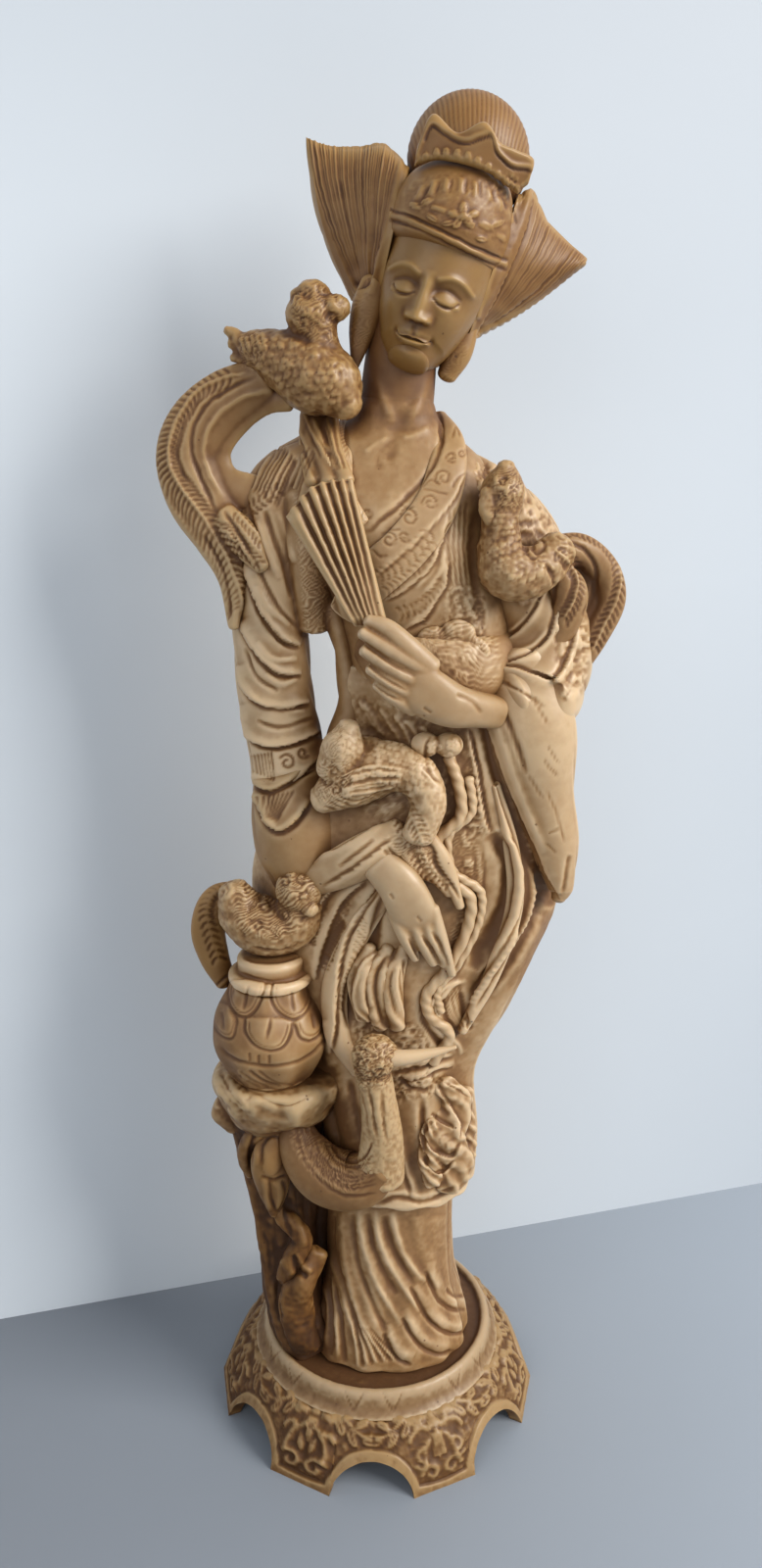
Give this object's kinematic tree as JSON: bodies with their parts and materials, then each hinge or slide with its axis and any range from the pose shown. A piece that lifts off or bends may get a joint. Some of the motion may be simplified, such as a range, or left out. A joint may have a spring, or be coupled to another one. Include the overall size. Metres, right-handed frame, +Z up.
{
  "type": "statue",
  "caption": "Robed lady statuette in carved-look resin, with a fan, birds on shoulders and hip, a crane, a lotus-petal vase and a round stand on arched feet.",
  "frame": {"origin": "centre of the underside of the stand's core, on the surface that the statue stands on", "axes": "+Z up along the figure, -Y towards the viewer (the figure's front), +X to the viewer's right"},
  "size_m": [0.0968, 0.0799, 0.3003],
  "materials": {
    "resin": "waxy satin, tan with a brown wash in the recesses",
    "hair_resin": "waxy satin, browner tan with dark combed grooves",
    "skin_resin": "smooth waxy satin, pale tan",
    "wood_resin": "satin, brown wash over bark texture"
  },
  "bodies": {
    "root": {"plinth_ring": "resin", "base_apron": "resin", "under_skirt": "resin", "over_robe": "resin", "bodice": "resin", "headband": "hair_resin", "head": "skin_resin", "neck": "skin_resin", "tiara": "hair_resin", "hair_bun": "hair_resin", "hair_back": "hair_resin", "hair_wing_left": "hair_resin", "hair_wing_right": "hair_resin", "ear_pendant_left": "hair_resin", "ear_pendant_right": "hair_resin", "sleeve_left_upper": "resin", "sleeve_left_lower": "resin", "sleeve_right_upper": "resin", "hand_high": "skin_resin", "hanging_sleeve": "resin", "fan": "resin", "obi": "resin", "obi_blossom": "resin", "bird_right": "resin", "bird_right_tail": "resin", "bird_left": "resin", "bird_left_tail": "resin", "bird_left_ribbons": "resin", "collar_band_right": "resin", "collar_band_left": "resin", "hip_bird": "resin", "cuff_left": "resin", "hand_low": "skin_resin", "hip_bird_tail": "resin", "sash_bow": "resin", "sash_cord": "resin", "tree_stump": "wood_resin", "vase_ledge": "wood_resin", "vase": "resin", "vase_lid": "resin", "vase_bird": "resin", "vase_bird_tail": "wood_resin", "crane_neck": "resin", "crane_body": "resin", "crane_beak": "resin", "flower_bud": "wood_resin", "twisted_root": "wood_resin", "leaf_cluster": "resin", "hip_drapery": "resin", "lace_fold": "resin", "fringe_fold": "resin"}
  },
  "joints": []
}
